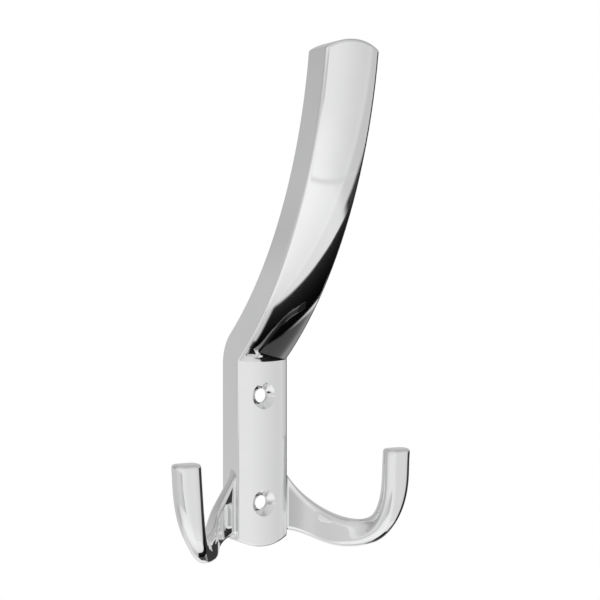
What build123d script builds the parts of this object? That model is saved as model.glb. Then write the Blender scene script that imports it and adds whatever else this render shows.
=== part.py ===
"""Triple robe hook, cast in one piece: a crowned wall plate with two countersunk screw holes, a wide upper
arm that leans forward from the plate, and two mirrored lower hooks that curl outward, forward and up.

Frame in millimetres: Y = 0 is the wall, -Y is the front, +Z is up, and the origin lies on the wall midway
between the two screw holes.
"""
from math import acos, asin, cos, degrees, radians, sin, sqrt
import os

from build123d import *

# Plate: a bar with a flat back and a crowned front, standing on the wall
bar_width = 17.0
plate_depth = 9.3
crown_rise = 1.0
plate_edge_round = 0.7
plate_foot = -26.5
end_bulge = 2.5
foot_round = 0.6

# Screw holes through the front wall, countersunk, on the centre line
screw_spacing = 32.0
screw_hole = 4.3
screw_head = 8.0
head_angle = 90

# Core cast out of the plate's back
side_wall = 2.4
front_wall = 3.2
core_top = 20.0
core_foot = -23.0
core_corner = 3.0

# Upper arm: one long arc from the plate's head to the tip
arm_thick = 9.0
arm_joint = 26.6
arm_lean = 52.0
arm_radius = 133.5
arm_tip = 112.8
arm_edge_round = 1.3
tip_round = 0.8
back_bend = 12.0

# Lower hooks: a tall thin root with a gusset turns along the path into a wide tip that faces forward
root_across = 3.64
root_tall = 13.3
root_flare = 1.2
gusset_tall = 6.0
gusset_reach = 17.7
gusset_ease = 3.0
turn_reach = 29.8
turn_ease = 1.08
turn_lean = 12.6
widen_from = 11.6
widen_to = 52.3
tip_across = 8.5
tip_thick = 5.2
taper_ease = 1.7
tip_straight = 3.0
corner_share = 0.78
hook_end_round = 0.9

# Hook path from inside the plate's side to the straight tip: outward from the side, forward from the wall, up
hook_points = [
    (-0.64, 6.02, -15.6),
    (7.47, 10.15, -21.77),
    (13.84, 18.29, -25.22),
    (21.18, 25.65, -23.44),
    (25.32, 28.67, -13.85),
    (26.31, 28.68, -2.9),
]
root_aim = (0.75, -0.3, -0.59)
tip_aim = (0.06, 0, 1)

# Sections along the path: even steps, the first one split finely for the flare
path_steps = 26
flare_steps = 4

# How far a shape runs past the place where it is cut or joined, in millimetres or degrees
overrun = 3.0

half_width = bar_width / 2
plate_front = plate_depth + crown_rise

# Axis of the upper arm's arc, set back from the joint line by the radius
axis_y = -plate_depth + arm_radius * cos(radians(arm_lean))
axis_z = arm_joint + arm_radius * sin(radians(arm_lean))
inner_radius = arm_radius - arm_thick
crown_radius = arm_radius + crown_rise
lean_in_wall = degrees(acos(axis_y / crown_radius)) + overrun
lean_past_tip = degrees(asin((axis_z - arm_tip - end_bulge) / crown_radius)) - overrun
bend_height = axis_z - sqrt(inner_radius**2 - axis_y**2)


# Path of one hook, on the +X side, from the root's aim to the tip's
with BuildLine() as hook_path:
    Spline(
        [(half_width + outward, -forward, upward) for outward, forward, upward in hook_points],
        tangents=[root_aim, tip_aim],
    )

# One hook: sections along the path, flared where they leave the plate's flat side
with BuildPart() as hook_arm:
    path_edge = hook_path.edges()[0]
    path_length = path_edge.length
    hook_length = path_length + tip_straight
    step = path_length / path_steps
    flare_places = [step * count / flare_steps for count in range(flare_steps)]
    even_places = [step * count for count in range(1, path_steps + 1)]
    for distance in flare_places + even_places:
        centre = path_edge.position_at(distance, PositionMode.LENGTH)
        tangent = path_edge.tangent_at(distance, PositionMode.LENGTH)
        # Turn about Z, lean about the path and rise of the section
        turned = min(1, distance / turn_reach)
        heading = radians(90 * (1 - (1 - turned) ** turn_ease))
        lean = radians(turn_lean * 4 * turned * (1 - turned))
        rise = max(0, asin(tangent.Z))
        across_dir = Vector(sin(heading), cos(heading), 0)
        tall_dir = Vector(-cos(heading) * sin(rise), sin(heading) * sin(rise), cos(rise))
        # Flare at the plate's side, widening towards the tip, gusset at the root
        out = min(root_flare, max(0, centre.X - half_width))
        flare = root_flare - sqrt(root_flare**2 - (root_flare - out) ** 2)
        widened = min(1, max(0, (distance - widen_from) / (widen_to - widen_from)))
        across = root_across + (tip_across - root_across) * widened**2 * (3 - 2 * widened)
        tall = tip_thick + (root_tall - tip_thick) * (1 - distance / hook_length) ** taper_ease
        tall += gusset_tall * max(0, 1 - distance / gusset_reach) ** gusset_ease
        section_plane = Plane(
            origin=centre,
            x_dir=across_dir * cos(lean) + tall_dir * sin(lean),
            z_dir=across_dir.cross(tall_dir),
        )
        with BuildSketch(section_plane):
            corner = corner_share * min(across, tall) / 2
            RectangleRounded(across + 2 * flare, tall + 2 * flare, corner + flare)
    loft()

    # Straight end of the tip, rounded over
    extrude(hook_arm.faces().sort_by(Axis.Z)[-1], amount=tip_straight, dir=tip_aim)
    fillet(hook_arm.faces().sort_by(Axis.Z)[-1].edges(), hook_end_round)

with BuildPart() as robe_hook:
    # Plate, drawn up from below its foot into the arm
    plate_start = plate_foot - end_bulge - overrun
    plate_end = arm_joint + overrun
    with BuildSketch(Plane.XY.offset(plate_start)) as plate_section:
        with BuildLine():
            Polyline(
                (half_width, -plate_depth), (half_width, 0), (-half_width, 0), (-half_width, -plate_depth)
            )
            ThreePointArc((-half_width, -plate_depth), (0, -plate_front), (half_width, -plate_depth))
        make_face()
        fillet(plate_section.vertices().group_by(Axis.Y)[0], plate_edge_round)
    extrude(amount=plate_end - plate_start)

    # Foot of the plate, bulged in the front view, with a rounded rim
    with BuildSketch(Plane.XZ):
        with BuildLine():
            Polyline(
                (half_width, plate_foot),
                (half_width, plate_end),
                (-half_width, plate_end),
                (-half_width, plate_foot),
            )
            ThreePointArc((-half_width, plate_foot), (0, plate_foot - end_bulge), (half_width, plate_foot))
        make_face()
    extrude(amount=plate_front, mode=Mode.INTERSECT)
    foot_face = robe_hook.faces().sort_by(Axis.Z)[0]
    fillet(foot_face.edges().filter_by(Plane.XZ, reverse=True), foot_round)

    # Upper arm, revolved from behind the wall plane to past the tip
    wall_lean = radians(lean_in_wall)
    arm_plane = Plane(
        origin=(0, axis_y, axis_z), x_dir=(1, 0, 0), z_dir=(0, -sin(wall_lean), cos(wall_lean))
    )
    with BuildSketch(arm_plane) as arm_section:
        with BuildLine():
            Polyline(
                (half_width, -arm_radius),
                (half_width, -inner_radius),
                (-half_width, -inner_radius),
                (-half_width, -arm_radius),
            )
            ThreePointArc((-half_width, -arm_radius), (0, -crown_radius), (half_width, -arm_radius))
        make_face()
        fillet(arm_section.vertices().group_by(Axis.Y)[0], arm_edge_round)
    revolve(
        axis=Axis((0, axis_y, axis_z), (-1, 0, 0)), revolution_arc=lean_in_wall - lean_past_tip
    )

    # Wall plane: nothing stands behind it
    split(bisect_by=Plane.XZ, keep=Keep.TOP)

    # Tip of the arm, bulged in the front view
    with BuildSketch(Plane.XZ):
        with BuildLine():
            Polyline(
                (half_width, arm_tip),
                (bar_width, arm_tip),
                (bar_width, plate_start),
                (-bar_width, plate_start),
                (-bar_width, arm_tip),
                (-half_width, arm_tip),
            )
            ThreePointArc((-half_width, arm_tip), (0, arm_tip + end_bulge), (half_width, arm_tip))
        make_face()
    extrude(amount=arm_radius, mode=Mode.INTERSECT)

    # Back of the arm, bent smoothly out of the wall plane, and rounded rim of the tip
    fillet(
        robe_hook.edges().filter_by(Axis.X).sort_by_distance((0, 0, bend_height))[0], back_bend
    )
    fillet(robe_hook.faces().sort_by(Axis.Z)[-1].edges(), tip_round)

    # Both lower hooks, blended into the plate's sides
    add(hook_arm.part)
    add(mirror(hook_arm.part, about=Plane.YZ, mode=Mode.PRIVATE))

    # Core in the plate's back
    with BuildSketch(Plane.XZ):
        with Locations((0, (core_top + core_foot) / 2)):
            RectangleRounded(bar_width - 2 * side_wall, core_top - core_foot, core_corner)
    extrude(amount=plate_front - front_wall, mode=Mode.SUBTRACT)

    # Screw holes, countersunk from the front
    for height in (-screw_spacing / 2, screw_spacing / 2):
        with Locations(Plane(origin=(0, -plate_front, height), z_dir=(0, -1, 0))):
            CounterSinkHole(screw_hole / 2, screw_head / 2, counter_sink_angle=head_angle)

robe_hook.part.label = "robe_hook"
os.makedirs("parts", exist_ok=True)
export_step(robe_hook.part, "parts/robe_hook.step")
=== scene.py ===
"""Triple robe hook in bright chrome, standing free before a white studio sweep.

Metres, in the frame of the CAD part: Y = 0 is the wall side, -Y is the front, +Z is up.
Sizes are named in millimetres and brought to metres by MM.
"""
import math

import bmesh
import bpy
import numpy as np
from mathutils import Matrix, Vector
from mathutils.kdtree import KDTree


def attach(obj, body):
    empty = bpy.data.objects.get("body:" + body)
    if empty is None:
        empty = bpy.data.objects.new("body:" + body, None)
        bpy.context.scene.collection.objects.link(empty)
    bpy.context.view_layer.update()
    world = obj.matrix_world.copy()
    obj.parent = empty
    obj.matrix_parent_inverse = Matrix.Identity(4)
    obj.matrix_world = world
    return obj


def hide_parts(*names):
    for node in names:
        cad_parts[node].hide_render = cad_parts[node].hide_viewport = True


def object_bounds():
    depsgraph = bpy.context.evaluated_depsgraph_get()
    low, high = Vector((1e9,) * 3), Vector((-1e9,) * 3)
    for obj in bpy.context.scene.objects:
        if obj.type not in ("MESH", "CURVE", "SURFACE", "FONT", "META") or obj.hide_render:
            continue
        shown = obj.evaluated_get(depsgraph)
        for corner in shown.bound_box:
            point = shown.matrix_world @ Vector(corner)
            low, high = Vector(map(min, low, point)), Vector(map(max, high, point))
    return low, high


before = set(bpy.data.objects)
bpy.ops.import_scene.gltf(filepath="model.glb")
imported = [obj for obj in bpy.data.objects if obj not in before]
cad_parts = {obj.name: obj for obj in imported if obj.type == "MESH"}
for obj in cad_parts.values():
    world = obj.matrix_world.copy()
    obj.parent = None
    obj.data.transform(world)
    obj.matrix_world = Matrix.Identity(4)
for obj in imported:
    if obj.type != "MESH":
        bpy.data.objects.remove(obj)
cad_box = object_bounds()
scene = bpy.context.scene
scene.view_settings.view_transform = "Standard"
bpy.ops.object.select_all(action="DESELECT")

# Camera: in front and to the left of the hook, level with its middle,
# close enough for the bar to keep its width towards the tip.
IMAGE_SIDE = 600
FOCAL_PIXELS = 1482.3
CAMERA_PLACE = Vector((-0.2156, -0.3941, 0.0542))
CAMERA_AZIMUTH = math.radians(-30.706)
CAMERA_ELEVATION = math.radians(1.26)
bpy.ops.object.camera_add(location=CAMERA_PLACE)
camera = bpy.context.object
camera.name = "camera"
camera.rotation_euler = (math.pi / 2 - CAMERA_ELEVATION, 0, CAMERA_AZIMUTH)
camera.data.sensor_width = 36
camera.data.lens = camera.data.sensor_width * FOCAL_PIXELS / IMAGE_SIDE
camera.data.clip_start = 0.01
camera.data.clip_end = 20
scene.camera = camera

# Plate and upper arm: one bar of zinc alloy, flat behind and crowned in front, cast with the hooks.
# Two countersunk screws hold it to a wall. Its faces come from the CAD part, and what stands out past
# its sides, the two lower hooks, is taken off, because the next section makes them.
MM = 0.001
BAR_HALF, CROWN_RISE, PLATE_DEPTH = 8.5, 1.0, 9.3
ARM_RADIUS, ARM_LEAN, ARM_JOINT, ARM_EDGE_ROUND = 133.5, math.radians(52), 26.6, 1.3
MERGE_GAP, SIDE_PLAY, SURFACE_PLAY = 0.001, 0.002, 0.02
cad_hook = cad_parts["robe_hook"]
cad_hook.select_set(True)
bpy.context.view_layer.objects.active = cad_hook
bpy.ops.object.duplicate()
plated_hook = bpy.context.object
plated_hook.name = "plated_hook"
bpy.ops.object.mode_set(mode="EDIT")
bpy.ops.mesh.select_all(action="SELECT")
bpy.ops.mesh.remove_doubles(threshold=MERGE_GAP * MM)
bpy.ops.mesh.select_all(action="DESELECT")
bar_mesh = bmesh.from_edit_mesh(plated_hook.data)
for face in bar_mesh.faces:
    face.select_set(abs(face.calc_center_median().x) > (BAR_HALF + SIDE_PLAY) * MM)
bmesh.update_edit_mesh(plated_hook.data)
bpy.ops.mesh.delete(type="FACE")
bpy.ops.mesh.select_all(action="SELECT")
bpy.ops.mesh.fill_holes(sides=0)
bpy.ops.object.mode_set(mode="OBJECT")

# The arm's section, in distances from the axis that the arm bends round: a crown with rounded edges
arm_axis_y = ARM_RADIUS * math.cos(ARM_LEAN) - PLATE_DEPTH
arm_axis_z = ARM_RADIUS * math.sin(ARM_LEAN) + ARM_JOINT
crown_radius = (BAR_HALF**2 + CROWN_RISE**2) / (2 * CROWN_RISE)
crown_middle = ARM_RADIUS + CROWN_RISE - crown_radius
edge_aside = BAR_HALF - ARM_EDGE_ROUND
edge_middle = crown_middle + math.sqrt((crown_radius - ARM_EDGE_ROUND) ** 2 - edge_aside**2)
edge_start = edge_aside * crown_radius / (crown_radius - ARM_EDGE_ROUND)


def arm_normal(place):
    """Which way the arm's crown or rounded edge faces at a place, or None off them."""
    aside, back, up = place / MM
    reach = math.hypot(back - arm_axis_y, up - arm_axis_z)
    if abs(aside) > edge_start:
        across, out, radius = abs(aside) - edge_aside, reach - edge_middle, ARM_EDGE_ROUND
    else:
        across, out, radius = abs(aside), reach - crown_middle, crown_radius
    off_surface = abs(math.hypot(across, out) - radius)
    if up < ARM_JOINT or out < -SURFACE_PLAY or off_surface > SURFACE_PLAY:
        return None
    outward = Vector((0, back - arm_axis_y, up - arm_axis_z)) / reach
    return (Vector((math.copysign(across, aside), 0, 0)) + outward * out).normalized()


# Lower hooks: a mirrored pair of zinc alloy, cast with the plate, tall and thin where they leave its sides,
# that turn into wide upright tips. Each is drawn through rounded sections along one smooth path,
# so that the polished faces stay even. Path points: outward from the side, forward from the wall, up.
HOOK_POINTS = np.array([
    (-0.64, 6.02, -15.6),
    (7.47, 10.15, -21.77),
    (13.84, 18.29, -25.22),
    (21.18, 25.65, -23.44),
    (25.32, 28.67, -13.85),
    (26.31, 28.68, -2.9),
])
ROOT_AIM = np.array((0.75, -0.3, -0.59))
TIP_AIM = np.array((0.06, 0, 1))
ROOT_ACROSS, ROOT_TALL, ROOT_FLARE, ROOT_CORNER = 3.64, 13.3, 1.2, 0.78
GUSSET_TALL, GUSSET_REACH, GUSSET_EASE = 6.0, 17.7, 3.0
TURN_REACH, TURN_EASE = 29.8, 1.08
WIDEN_FROM, WIDEN_TO = 11.6, 52.3
TIP_ACROSS, TIP_THICK, TIP_STRAIGHT, TIP_CORNER = 8.5, 5.2, 3.0, 0.94
TAPER_EASE, END_ROUND = 1.7, 0.9
FINE_REACH, FINE_SECTIONS, EVEN_SECTIONS, END_STEPS = 4, 20, 68, 6
LEG_STEPS, CORNER_STEPS, SIDE_STEPS = 100, 10, 4


def smooth_path(points, first_aim, last_aim):
    """Close places on the smooth curve through the points, with the length run at each."""
    chords = np.linalg.norm(np.diff(points, axis=0), axis=1)
    matrix = np.eye(len(points))
    aims = np.zeros_like(points)
    aims[0] = first_aim / np.linalg.norm(first_aim)
    aims[-1] = last_aim / np.linalg.norm(last_aim)
    for row in range(1, len(points) - 1):
        before, after = chords[row - 1], chords[row]
        matrix[row, row - 1:row + 2] = 1 / before, 2 / before + 2 / after, 1 / after
        to_here = (points[row] - points[row - 1]) / before**2
        onward = (points[row + 1] - points[row]) / after**2
        aims[row] = 3 * (to_here + onward)
    aims = np.linalg.solve(matrix, aims)
    share = np.linspace(0, 1, LEG_STEPS, endpoint=False)[:, None]
    legs = [
        points[leg] * (1 + 2 * share) * (1 - share) ** 2
        + points[leg + 1] * share**2 * (3 - 2 * share)
        + chords[leg] * share * (1 - share) * (aims[leg] * (1 - share) - aims[leg + 1] * share)
        for leg in range(len(chords))
    ]
    places = np.vstack(legs + [points[-1:]])
    steps = np.linalg.norm(np.diff(places, axis=0), axis=1)
    return places, np.concatenate([[0], np.cumsum(steps)])


def rounded_outline(across, tall, corner):
    """Points round a rectangle with rounded corners, corner by corner, with a few along each side."""
    across_half, tall_half = across / 2 - corner, tall / 2 - corner
    corners = []
    for quarter, (right, up) in enumerate([(1, 1), (-1, 1), (-1, -1), (1, -1)]):
        angles = math.pi / 2 * (quarter + np.linspace(0, 1, CORNER_STEPS + 1))
        arc = np.column_stack([np.cos(angles), np.sin(angles)]) * corner
        corners.append(arc + (right * across_half, up * tall_half))
    outline = []
    for arc, following in zip(corners, corners[1:] + corners[:1]):
        side = np.linspace(arc[-1], following[0], SIDE_STEPS + 1)[1:-1]
        outline += [arc, side]
    return np.vstack(outline)


path, run = smooth_path(HOOK_POINTS * (1, -1, 1) + (BAR_HALF, 0, 0), ROOT_AIM, TIP_AIM)
path_aims = np.gradient(path, run, axis=0)
path_length = run[-1]
hook_length = path_length + TIP_STRAIGHT
fine_places = np.linspace(0, FINE_REACH, FINE_SECTIONS + 1)[:-1]
even_places = np.linspace(FINE_REACH, path_length, EVEN_SECTIONS)
sections = []
for distance in np.concatenate([fine_places, even_places]):
    centre = np.array([np.interp(distance, run, path[:, axis]) for axis in range(3)])
    # Turn about Z and rise of the section
    turned = min(1, distance / TURN_REACH)
    heading = math.pi / 2 * (1 - (1 - turned) ** TURN_EASE)
    rise = max(0, math.asin(min(1, np.interp(distance, run, path_aims[:, 2]))))
    across_dir = np.array((math.sin(heading), math.cos(heading), 0))
    tall_dir = np.array((
        -math.cos(heading) * math.sin(rise), math.sin(heading) * math.sin(rise), math.cos(rise)
    ))
    # Flare at the plate's side, widening towards the tip, gusset at the root
    out = min(ROOT_FLARE, max(0, centre[0] - BAR_HALF))
    flare = ROOT_FLARE - math.sqrt(ROOT_FLARE**2 - (ROOT_FLARE - out) ** 2)
    widened = min(1, max(0, (distance - WIDEN_FROM) / (WIDEN_TO - WIDEN_FROM)))
    across = ROOT_ACROSS + (TIP_ACROSS - ROOT_ACROSS) * widened**2 * (3 - 2 * widened)
    tall = TIP_THICK + (ROOT_TALL - TIP_THICK) * (1 - distance / hook_length) ** TAPER_EASE
    tall += GUSSET_TALL * max(0, 1 - distance / GUSSET_REACH) ** GUSSET_EASE
    corner = (ROOT_CORNER + (TIP_CORNER - ROOT_CORNER) * widened) * min(across, tall) / 2
    outline = rounded_outline(across + 2 * flare, tall + 2 * flare, corner + flare)
    sections.append(centre + outline[:, :1] * across_dir + outline[:, 1:] * tall_dir)
# Straight end of the tip, rounded over, on from the last section
tip_up = TIP_AIM / np.linalg.norm(TIP_AIM)
for step in range(END_STEPS + 1):
    angle = math.pi / 2 * step / END_STEPS
    inset = END_ROUND * (1 - math.cos(angle))
    outline = rounded_outline(across - 2 * inset, tall - 2 * inset, corner - inset)
    raised = centre + tip_up * (TIP_STRAIGHT - END_ROUND * (1 - math.sin(angle)))
    sections.append(raised + outline[:, :1] * across_dir + outline[:, 1:] * tall_dir)

bpy.ops.object.select_all(action="DESELECT")
bpy.ops.mesh.primitive_circle_add(vertices=len(outline), radius=MM, fill_type="NGON")
right_hook = bpy.context.object
right_hook.name = "right_hook"
bpy.ops.object.mode_set(mode="EDIT")
for count, section in enumerate(sections):
    if count:
        bpy.ops.mesh.extrude_region_move()
    hook_mesh = bmesh.from_edit_mesh(right_hook.data)
    end_face = next(face for face in hook_mesh.faces if face.select)
    for vertex, place in zip(end_face.verts, section):
        vertex.co = place * MM
    bmesh.update_edit_mesh(right_hook.data)
bpy.ops.mesh.select_all(action="SELECT")
bpy.ops.mesh.normals_make_consistent(inside=False)
bpy.ops.object.mode_set(mode="OBJECT")
bpy.ops.object.duplicate()
left_hook = bpy.context.object
for vertex in left_hook.data.vertices:
    vertex.co.x *= -1
bpy.ops.object.mode_set(mode="EDIT")
bpy.ops.mesh.select_all(action="SELECT")
bpy.ops.mesh.flip_normals()
bpy.ops.object.mode_set(mode="OBJECT")

# Whole casting: the bar and both hooks in one mesh, polished so that light runs evenly over each face.
# The hooks are shaded by their own close faces, the bar as the CAD part is, and the arm's crowned front
# and rounded edges by their true section, because facets would break up the reflections there.
CASTING_SMOOTH = math.radians(28)
SAME_FACE_GAP, SAME_FACING = 0.003, 0.8
cad_middles = KDTree(len(cad_hook.data.polygons))
for polygon in cad_hook.data.polygons:
    cad_middles.insert(polygon.center, polygon.index)
cad_middles.balance()


def corner_place(mesh, corner):
    """Where a face's corner stands."""
    return mesh.vertices[mesh.loops[corner].vertex_index].co


for piece in (right_hook, left_hook, plated_hook):
    piece.select_set(True)
bpy.context.view_layer.objects.active = plated_hook
bpy.ops.object.join()
bpy.ops.mesh.customdata_custom_splitnormals_clear()
bpy.ops.object.shade_smooth_by_angle(angle=CASTING_SMOOTH)
shading = [normal.vector.copy() for normal in plated_hook.data.corner_normals]
for polygon in plated_hook.data.polygons:
    _, index, gap = cad_middles.find(polygon.center)
    if gap < SAME_FACE_GAP * MM:
        for corner in polygon.loop_indices:
            place = corner_place(plated_hook.data, corner)
            twin = min(
                cad_hook.data.polygons[index].loop_indices,
                key=lambda cad_corner: (corner_place(cad_hook.data, cad_corner) - place).length,
            )
            shading[corner] = cad_hook.data.corner_normals[twin].vector.copy()
    true_normals = [arm_normal(corner_place(plated_hook.data, corner)) for corner in polygon.loop_indices]
    if all(true_normals) and polygon.normal.dot(true_normals[0]) > SAME_FACING:
        for corner, normal in zip(polygon.loop_indices, true_normals):
            shading[corner] = normal
plated_hook.data.normals_split_custom_set(shading)

# Plating: bright chrome over the whole casting, a mirror with faint clouding
# and the shallow ripple that polishing leaves under it, with painted shade on the right hook where the arm
# mirrors it.
CLOUDED_TINT = (0.855, 0.858, 0.862, 1)
CLEAR_TINT = (0.88, 0.88, 0.88, 1)
# Painted shade: the near-black colour the right hook takes where the arm mirrors it
PAINTED_SHADE_TINT = (0.03, 0.03, 0.03, 1)
CLOUDING_SCALE, RIPPLE_SCALE, RIPPLE_STRENGTH, RIPPLE_HEIGHT = 90, 160, 0.1, 0.1
SMOOTHEST, ROUGHEST = 0.025, 0.055
MIRROR_REACH = 45
chrome = bpy.data.materials.new("bright_chrome")
chrome.use_nodes = True
nodes = chrome.node_tree.nodes
links = chrome.node_tree.links
shader = nodes["Principled BSDF"]
shader.inputs["Metallic"].default_value = 1.0
place_on_part = nodes.new("ShaderNodeTexCoord").outputs["Object"]
clouding = nodes.new("ShaderNodeTexNoise")
clouding.inputs["Scale"].default_value = CLOUDING_SCALE
clouding.inputs["Detail"].default_value = 3
links.new(place_on_part, clouding.inputs["Vector"])
tint = nodes.new("ShaderNodeValToRGB")
tint.color_ramp.elements[0].position = 0.3
tint.color_ramp.elements[0].color = CLOUDED_TINT
tint.color_ramp.elements[1].position = 0.7
tint.color_ramp.elements[1].color = CLEAR_TINT
links.new(clouding.outputs["Fac"], tint.inputs["Fac"])
polish = nodes.new("ShaderNodeMapRange")
polish.inputs["To Min"].default_value = SMOOTHEST
polish.inputs["To Max"].default_value = ROUGHEST
links.new(clouding.outputs["Fac"], polish.inputs["Value"])
links.new(polish.outputs["Result"], shader.inputs["Roughness"])
ripple = nodes.new("ShaderNodeTexNoise")
ripple.inputs["Scale"].default_value = RIPPLE_SCALE
ripple.inputs["Detail"].default_value = 0
links.new(place_on_part, ripple.inputs["Vector"])
ripple_bump = nodes.new("ShaderNodeBump")
ripple_bump.inputs["Strength"].default_value = RIPPLE_STRENGTH
ripple_bump.inputs["Distance"].default_value = RIPPLE_HEIGHT * MM
links.new(ripple.outputs["Fac"], ripple_bump.inputs["Height"])
links.new(ripple_bump.outputs["Normal"], shader.inputs["Normal"])
# Painted shade: where the arm mirrors the right hook from farther off than the reach, the hook's colour is
# painted near black, so its reflection there stays dim
rays = nodes.new("ShaderNodeLightPath")
far_away = nodes.new("ShaderNodeMath")
far_away.operation = "GREATER_THAN"
far_away.inputs[1].default_value = MIRROR_REACH * MM
links.new(rays.outputs["Ray Length"], far_away.inputs[0])
split_place = nodes.new("ShaderNodeSeparateXYZ")
links.new(place_on_part, split_place.inputs[0])
on_right = nodes.new("ShaderNodeMath")
on_right.operation = "GREATER_THAN"
on_right.inputs[1].default_value = BAR_HALF * MM
links.new(split_place.outputs["X"], on_right.inputs[0])
far_right = nodes.new("ShaderNodeMath")
far_right.operation = "MULTIPLY"
links.new(far_away.outputs["Value"], far_right.inputs[0])
links.new(on_right.outputs["Value"], far_right.inputs[1])
painted_shade_mask = nodes.new("ShaderNodeMath")
painted_shade_mask.operation = "MULTIPLY"
links.new(far_right.outputs["Value"], painted_shade_mask.inputs[0])
links.new(rays.outputs["Is Glossy Ray"], painted_shade_mask.inputs[1])
painted_reflection_shade = nodes.new("ShaderNodeMixRGB")
painted_reflection_shade.inputs["Color2"].default_value = PAINTED_SHADE_TINT
links.new(painted_shade_mask.outputs["Value"], painted_reflection_shade.inputs["Fac"])
links.new(tint.outputs["Color"], painted_reflection_shade.inputs["Color1"])
links.new(painted_reflection_shade.outputs["Color"], shader.inputs["Base Color"])
plated_hook.data.materials.clear()
plated_hook.data.materials.append(chrome)
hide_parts("robe_hook")
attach(plated_hook, "root")

# Floor: a sheet of white paper under the hook, far enough below it to take no shadow.
# The camera sees it as plain white, like the wall behind.
FLOOR_SIDE, FLOOR_DROP = 6, 0.25
PAPER_WHITE = (0.9, 0.9, 0.9, 1)
bpy.ops.mesh.primitive_plane_add(size=FLOOR_SIDE, location=(0, 0, cad_box[0].z - FLOOR_DROP))
floor = bpy.context.object
floor.name = "paper_floor"
bpy.ops.object.transform_apply(location=True)
paper = bpy.data.materials.new("white_paper")
paper.use_nodes = True
paper_nodes = paper.node_tree.nodes
paper_links = paper.node_tree.links
paper_shader = paper_nodes["Principled BSDF"]
paper_shader.inputs["Base Color"].default_value = PAPER_WHITE
paper_shader.inputs["Roughness"].default_value = 0.9
paper_glow = paper_nodes.new("ShaderNodeEmission")
paper_rays = paper_nodes.new("ShaderNodeLightPath")
paper_mix = paper_nodes.new("ShaderNodeMixShader")
paper_links.new(paper_rays.outputs["Is Camera Ray"], paper_mix.inputs["Fac"])
paper_links.new(paper_shader.outputs["BSDF"], paper_mix.inputs[1])
paper_links.new(paper_glow.outputs["Emission"], paper_mix.inputs[2])
paper_links.new(paper_mix.outputs["Shader"], paper_nodes["Material Output"].inputs["Surface"])
floor.data.materials.append(paper)
floor.visible_glossy = False

# Studio: pale walls and a brighter paper floor, with a grey wall on the left, a dark wall and a grey corner
# on the right, and a dark card lying to the right of the hook. Only the chrome mirrors them, because
# the camera sees plain white. Turns and heights are in degrees, levels are brightness.
LEAST_DROP = 0.02
PAPER_FROM, PAPER_FULL, PAPER_EVENNESS = -33, -39, 0.5
SEAM_RIGHT, SEAM_AHEAD = 0.17, 0.985
SEAM_LEVEL, SEAM_FROM, SEAM_TO, SEAM_SOFT = 0.72, 1.17, 1.21, 0.04
LEFT_WALL_END, LEFT_WALL_HEIGHTS, LEFT_WALL_SOFT = (-10, -13), (-20, -6), 2
CORNER_TURNS, CORNER_HEIGHTS, CORNER_SOFT = (99, 134), (-78, -14), (2, 3)
DARK_WALL_LEVEL, DARK_WALL_TURNS, DARK_WALL_HEIGHTS, DARK_WALL_SOFT = 0.045, (63, 138), (-35, 5), (2, 2)
SIDE_BAND_LEVEL, SIDE_BAND_TURNS, SIDE_BAND_HEIGHTS, SIDE_BAND_SOFT = 0.52, (-138, -144), (0.4, 2.6), 1.2
CARD_SLANT, CARD_FRONT, CARD_BACK, CARD_NARROWEST = 0.3, 0.12, 0.12, 0.01
CARD_FRONT_SOFT, CARD_BACK_SOFT, CARD_LEFT_SOFT = (-0.01, 0.03), (-0.02, 0.02), (0.23, 0.28)
CARD_TOP, CARD_FOOT = (-9, -16), (-78, -74)
CARD_LEVEL, CARD_FADE = 0.03, 0.05
world = bpy.data.worlds.new("studio")
scene.world = world
world.use_nodes = True
studio_nodes = world.node_tree.nodes
studio_links = world.node_tree.links
studio_nodes["Background"].inputs["Color"].default_value = (1, 1, 1, 1)


def calc(operation, *values):
    """One Math node on sockets or numbers."""
    node = studio_nodes.new("ShaderNodeMath")
    node.operation = operation
    for socket, value in zip(node.inputs, values):
        if isinstance(value, bpy.types.NodeSocket):
            studio_links.new(value, socket)
        else:
            socket.default_value = value
    return node.outputs[0]


def ease(value, low, high):
    """A smooth rise from 0 at low to 1 at high."""
    node = studio_nodes.new("ShaderNodeMapRange")
    node.interpolation_type = "SMOOTHSTEP"
    studio_links.new(value, node.inputs["Value"])
    node.inputs["From Min"].default_value = low
    node.inputs["From Max"].default_value = high
    return node.outputs["Result"]


def between(value, low, high, soft):
    """1 between low and high, falling to 0 over soft on either side."""
    return calc("MULTIPLY", ease(value, low - soft, low + soft), ease(value, high + soft, high - soft))


def cover(base, level, mask):
    """base where mask is 0, level where it is 1."""
    return calc("ADD", base, calc("MULTIPLY", calc("SUBTRACT", level, base), mask))


def brightness_at(angle, stops):
    """Brightness by angle in degrees, straight between the stops."""
    first, last = stops[0][0], stops[-1][0]
    spread = studio_nodes.new("ShaderNodeMapRange")
    studio_links.new(angle, spread.inputs["Value"])
    spread.inputs["From Min"].default_value = first
    spread.inputs["From Max"].default_value = last
    node = studio_nodes.new("ShaderNodeValToRGB")
    studio_links.new(spread.outputs["Result"], node.inputs["Fac"])
    elements = node.color_ramp.elements
    while len(elements) < len(stops):
        elements.new(0.5)
    for element, (place, level) in zip(elements, stops):
        element.position = (place - first) / (last - first)
        element.color = (level, level, level, 1)
    return node.outputs["Color"]


direction = studio_nodes.new("ShaderNodeTexCoord").outputs["Generated"]
split = studio_nodes.new("ShaderNodeSeparateXYZ")
studio_links.new(direction, split.inputs[0])
aside, away, upward = split.outputs
# Compass angle from the front, positive to the right, and height above the horizon
turn = calc("DEGREES", calc("ARCTAN2", aside, calc("MULTIPLY", away, -1)))
height = calc("DEGREES", calc("ARCSINE", upward))
# Where a line of sight meets a floor one unit below
drop = calc("MAXIMUM", calc("MULTIPLY", upward, -1), LEAST_DROP)
floor_right = calc("DIVIDE", aside, drop)
floor_back = calc("DIVIDE", away, drop)

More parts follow.
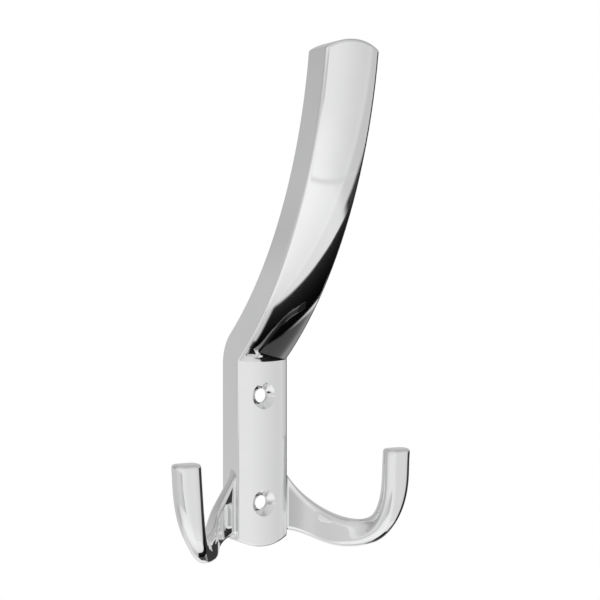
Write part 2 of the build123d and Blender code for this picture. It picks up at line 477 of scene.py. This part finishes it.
# Walls, by height and by turn, and the paper floor, which is more even and ends at a seam in front
wall_rise = brightness_at(height, [
    (-90, 0.66), (-80, 0.72), (-70, 0.92), (-60, 0.98), (-42, 1.02), (-30, 0.96), (-22, 0.9), (-12, 0.88),
    (0, 0.87), (10, 0.74), (50, 0.68), (90, 0.62),
])
round_wall = brightness_at(turn, [
    (-180, 0.75), (-150, 0.68), (-130, 0.62), (-114, 0.52), (-98, 0.66), (-84, 0.86), (-60, 0.96),
    (-45, 1.0), (14, 1.0), (22, 0.96), (34, 0.87), (45, 0.81), (50, 0.84), (52.5, 0.7), (90, 0.7),
    (140, 0.8), (180, 0.75),
])
on_paper = ease(height, PAPER_FROM, PAPER_FULL)
round_paper = calc("POWER", round_wall, PAPER_EVENNESS)
light = calc("MULTIPLY", wall_rise, cover(round_wall, round_paper, on_paper))
paper_front = calc(
    "SUBTRACT", calc("MULTIPLY", floor_right, SEAM_RIGHT), calc("MULTIPLY", floor_back, SEAM_AHEAD)
)
light = cover(light, SEAM_LEVEL, between(paper_front, SEAM_FROM, SEAM_TO, SEAM_SOFT))

# Grey wall on the left, darker towards its front end, seen just below the horizon
left_level = brightness_at(turn, [
    (-180, 0.62), (-100, 0.62), (-60, 0.7), (-40, 0.68), (-24, 0.58), (-10, 0.5), (180, 0.5),
])
on_left = calc("MULTIPLY", ease(turn, *LEFT_WALL_END), between(height, *LEFT_WALL_HEIGHTS, LEFT_WALL_SOFT))
light = cover(light, left_level, on_left)

# Grey corner, lit higher up, the dark wall on the right and a narrow dim band at the back on the left
corner_level = brightness_at(height, [
    (-90, 0.07), (-58, 0.065), (-50, 0.08), (-47, 0.12), (-44, 0.27), (-30, 0.24), (-10, 0.14), (90, 0.14),
])
for level, turns, heights, (turn_soft, height_soft) in (
    (corner_level, CORNER_TURNS, CORNER_HEIGHTS, CORNER_SOFT),
    (DARK_WALL_LEVEL, DARK_WALL_TURNS, DARK_WALL_HEIGHTS, DARK_WALL_SOFT),
):
    patch = calc("MULTIPLY", between(turn, *turns, turn_soft), between(height, *heights, height_soft))
    light = cover(light, level, patch)
on_band = calc("MULTIPLY", ease(turn, *SIDE_BAND_TURNS), between(height, *SIDE_BAND_HEIGHTS, SIDE_BAND_SOFT))
light = cover(light, SIDE_BAND_LEVEL, on_band)

# Dark card, lit along its front edge and darker towards its back
past_front = calc("ADD", calc("ADD", floor_back, calc("MULTIPLY", floor_right, CARD_SLANT)), CARD_FRONT)
before_back = calc("SUBTRACT", CARD_BACK, floor_back)
card_width = calc("MAXIMUM", calc("ADD", past_front, before_back), CARD_NARROWEST)
card_share = calc("MINIMUM", calc("MAXIMUM", calc("DIVIDE", past_front, card_width), 0), 1)
card_level = calc("MULTIPLY", calc("POWER", CARD_FADE, card_share), CARD_LEVEL)
on_card = calc("MULTIPLY", ease(past_front, *CARD_FRONT_SOFT), ease(before_back, *CARD_BACK_SOFT))
on_card = calc("MULTIPLY", on_card, calc("MULTIPLY", ease(height, *CARD_TOP), ease(height, *CARD_FOOT)))
on_card = calc("MULTIPLY", on_card, ease(floor_right, *CARD_LEFT_SOFT))
light = cover(light, card_level, on_card)
seen = studio_nodes.new("ShaderNodeLightPath").outputs["Is Camera Ray"]
studio_links.new(cover(light, 1.0, seen), studio_nodes["Background"].inputs["Strength"])
